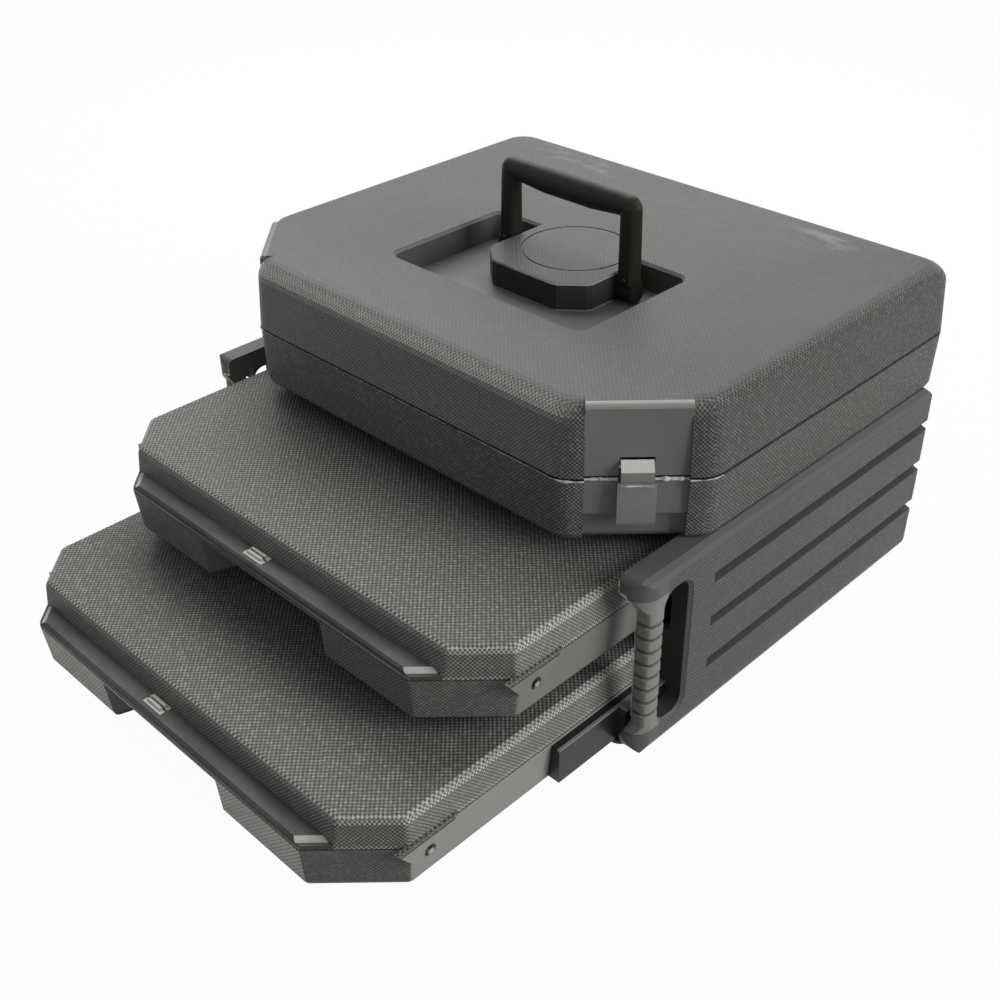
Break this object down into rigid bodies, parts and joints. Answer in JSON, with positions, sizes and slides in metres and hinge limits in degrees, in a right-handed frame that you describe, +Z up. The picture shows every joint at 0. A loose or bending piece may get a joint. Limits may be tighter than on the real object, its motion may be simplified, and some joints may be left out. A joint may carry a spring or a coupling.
{
  "type": "hard tool case",
  "caption": "Moulded hard tool case: hinged top case with corner latches and a folding handle, on a ribbed housing with lidded drawer cases that slide out.",
  "frame": {"origin": "centre of the housing's underside, on the floor", "axes": "+X to the case's right, +Y to its back, +Z up; the drawers slide out along -Y"},
  "size_m": [0.458, 0.5988, 0.3102],
  "materials": {
    "housing_plastic": "matte grained polyethylene, charcoal grey",
    "case_plastic": "matte polyethylene with a fine lozenge grain, charcoal grey",
    "drawer_plastic": "matte polyethylene with a woven grain, charcoal grey",
    "insert_plastic": "matte formed tray, dark grey",
    "runner_plastic": "satin moulded slide rail, near black",
    "handle_plastic": "semi-gloss moulded, near black",
    "steel": "plain zinc-plated"
  },
  "bodies": {
    "housing": {"side_wall_left": "housing_plastic", "side_wall_right": "housing_plastic", "back_wall": "housing_plastic", "base_panel": "housing_plastic", "housing_screws": "steel", "case_base": "case_plastic", "case_insert": "insert_plastic", "case_screws": "steel", "case_hinge_pins": "steel"},
    "lid": {"case_lid": "case_plastic", "lid_liner": "insert_plastic", "handle_pins": "steel", "latch_pins": "steel"},
    "latch_left": {"latch_left": "case_plastic"},
    "latch_right": {"latch_right": "case_plastic"},
    "handle": {"carry_handle": "handle_plastic"},
    "upper_drawer": {"upper_tray": "drawer_plastic", "upper_lid": "drawer_plastic", "upper_hinge_pins": "steel", "upper_runner_left": "runner_plastic", "upper_runner_right": "runner_plastic", "upper_runner_screws": "steel"},
    "lower_drawer": {"lower_tray": "drawer_plastic", "lower_lid": "drawer_plastic", "lower_hinge_pins": "steel", "lower_runner_left": "runner_plastic", "lower_runner_right": "runner_plastic", "lower_runner_screws": "steel"}
  },
  "joints": [
    {"name": "lid_hinge", "type": "hinge", "parent": "housing", "child": "lid", "pos_m": [0, 0.1983, 0.1974], "axis": [-1, 0, 0], "range_deg": [0, 105]},
    {"name": "handle_pivot", "type": "hinge", "parent": "lid", "child": "handle", "pos_m": [0, 0.008, 0.2372], "axis": [1, 0, 0], "range_deg": [0, 90]},
    {"name": "latch_right_pivot", "type": "hinge", "parent": "lid", "child": "latch_right", "pos_m": [0.18604, -0.13234, 0.2042], "axis": [-0.7071, -0.7071, 0], "range_deg": [0, 60]},
    {"name": "latch_left_pivot", "type": "hinge", "parent": "lid", "child": "latch_left", "pos_m": [-0.18604, -0.13234, 0.2042], "axis": [-0.7071, 0.7071, 0], "range_deg": [0, 60]},
    {"name": "upper_slide", "type": "slide", "parent": "housing", "child": "upper_drawer", "axis": [0, -1, 0], "range_m": [-0.1308, 0.1034]},
    {"name": "lower_slide", "type": "slide", "parent": "housing", "child": "lower_drawer", "axis": [0, -1, 0], "range_m": [-0.2242, 0.01]}
  ]
}
